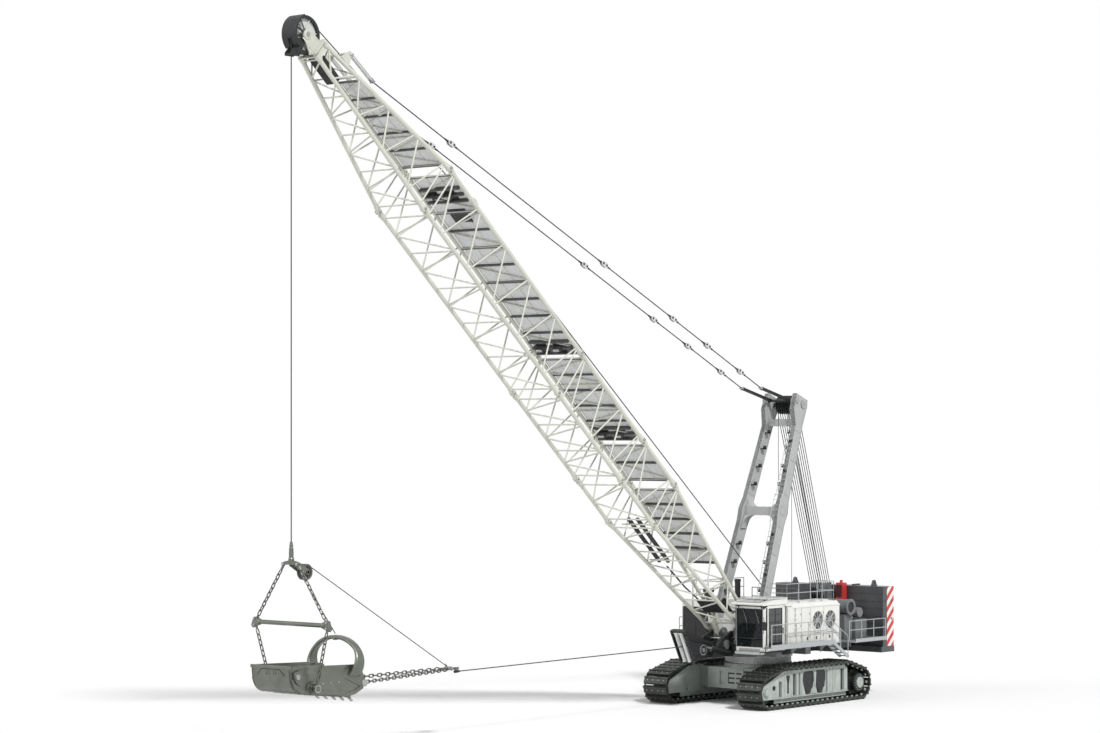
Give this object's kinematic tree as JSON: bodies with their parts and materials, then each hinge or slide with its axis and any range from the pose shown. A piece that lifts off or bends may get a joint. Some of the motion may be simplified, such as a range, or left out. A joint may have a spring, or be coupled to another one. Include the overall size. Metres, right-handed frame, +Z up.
{
  "type": "dragline excavator",
  "caption": "Crawler dragline excavator with a lattice boom on a mast, side houses, cab, counterweight and a toothed bucket on chains and ropes.",
  "frame": {"origin": "on the ground on the swing axis, midway between the tracks", "axes": "+X towards the boom and bucket, +Y to the cab side, +Z up"},
  "size_m": [36.75, 6.54, 27.4576],
  "materials": {
    "boom_paint": "satin cream-white paint",
    "mast_paint": "satin blue-grey paint",
    "house_paint": "satin white paint",
    "deck_paint": "satin grey paint",
    "weight_paint": "satin dark grey paint",
    "undercarriage_paint": "satin grey-green paint",
    "shoe_steel": "worn cast steel",
    "bucket_steel": "worn steel",
    "machined_steel": "machined steel",
    "dark_steel": "dark oiled steel",
    "grating": "galvanised steel",
    "rail_paint": "galvanised tube",
    "cab_window": "clear glass",
    "seat_black": "matte",
    "engine_grey": "painted casting"
  },
  "bodies": {
    "undercarriage": {"track_l": "shoe_steel", "track_frame_l": "undercarriage_paint", "track_r": "shoe_steel", "track_frame_r": "undercarriage_paint", "track_rollers": "shoe_steel", "idlers": "shoe_steel", "sprockets": "shoe_steel", "carbody": "undercarriage_paint", "swing_bearing": "machined_steel"},
    "upper": {"revolving_frame": "deck_paint", "foot_brackets": "deck_paint", "foot_pins": "machined_steel", "house_left": "house_paint", "house_right": "house_paint", "rear_house": "house_paint", "engine": "engine_grey", "drag_winch": "deck_paint", "hoist_winch": "deck_paint", "luffing_winch": "deck_paint", "counterweight": "weight_paint", "cab_shell": "house_paint", "cab_glass": "cab_window", "cab_roof": "house_paint", "cab_seat": "seat_black", "walkways": "grating", "handrails": "rail_paint", "rear_platform": "grating", "access_ladder": "rail_paint", "fairlead_frame": "deck_paint", "fairlead_rollers": "machined_steel", "luffing_block": "deck_paint"},
    "cab_door": {"cab_door": "house_paint"},
    "boom": {"boom_feet": "boom_paint", "boom_butt": "boom_paint", "boom_insert_short": "boom_paint", "boom_insert_middle": "boom_paint", "boom_insert_long": "boom_paint", "boom_head": "boom_paint", "boom_walkway": "grating", "head_plates": "boom_paint", "head_axle": "machined_steel", "pendant_lugs": "boom_paint"},
    "head_sheave": {"head_sheave": "dark_steel"},
    "mast": {"mast_legs": "mast_paint", "mast_cross": "mast_paint", "mast_sheaves": "dark_steel", "pendants": "dark_steel"},
    "rope_guard": {"rope_guard": "dark_steel"},
    "hoist_rig": {"hoist_rope": "dark_steel", "hoist_tackle": "bucket_steel", "hoist_chains": "bucket_steel", "spreader_bar": "bucket_steel", "lift_chains": "bucket_steel", "dump_block": "bucket_steel"},
    "bucket": {"bucket_shell": "bucket_steel", "bucket_arch": "bucket_steel", "bucket_teeth": "bucket_steel"},
    "drag_chain_set": {"drag_chains": "bucket_steel", "drag_yoke": "bucket_steel"},
    "drag_rope": {"drag_rope": "dark_steel"}
  },
  "joints": [
    {"name": "slew", "type": "hinge", "parent": "undercarriage", "child": "upper", "pos_m": [0, 0, 1.85], "axis": [0, 0, 1], "continuous": true},
    {"name": "boom_luff", "type": "hinge", "parent": "upper", "child": "boom", "pos_m": [1.7, 0, 3.1], "axis": [0, -1, 0], "range_deg": [-2, 14]},
    {"name": "mast_luff", "type": "hinge", "parent": "upper", "child": "mast", "pos_m": [1.7, 0, 3.1], "axis": [0, -1, 0], "range_deg": [-2, 14]},
    {"name": "rope_guard_level", "type": "hinge", "parent": "boom", "child": "rope_guard", "pos_m": [28.58709, 0, 26.73756], "axis": [0, -1, 0], "range_deg": [-14, 2]},
    {"name": "head_sheave_turn", "type": "hinge", "parent": "boom", "child": "head_sheave", "pos_m": [28.58709, 0, 26.73756], "axis": [0, -1, 0], "continuous": true},
    {"name": "hoist_swing", "type": "hinge", "parent": "rope_guard", "child": "hoist_rig", "pos_m": [28.58709, 0, 26.73756], "axis": [0, -1, 0], "range_deg": [-10, 5]},
    {"name": "bucket_tilt", "type": "hinge", "parent": "hoist_rig", "child": "bucket", "pos_m": [29.11, 0, 2.6], "axis": [0, -1, 0], "range_deg": [-10, 40]},
    {"name": "drag_chain_level", "type": "hinge", "parent": "bucket", "child": "drag_chain_set", "pos_m": [26.4, 0, 2.63], "axis": [0, -1, 0], "range_deg": [-57.2, 14.3]},
    {"name": "drag_rope_pitch", "type": "hinge", "parent": "upper", "child": "drag_rope", "pos_m": [5.53, 0, 2.73], "axis": [0, -1, 0], "range_deg": [-2.5, 17.5]},
    {"name": "cab_door_slide", "type": "slide", "parent": "upper", "child": "cab_door", "axis": [-1, 0, 0], "range_m": [0, 0.75]}
  ],
  "couplings": [
    {"joint": "mast_luff", "follows": "boom_luff", "ratio": 1},
    {"joint": "rope_guard_level", "follows": "boom_luff", "ratio": -1},
    {"joint": "drag_rope_pitch", "follows": "boom_luff", "ratio": 1.25},
    {"joint": "drag_chain_level", "follows": "bucket_tilt", "ratio": -1.43}
  ]
}
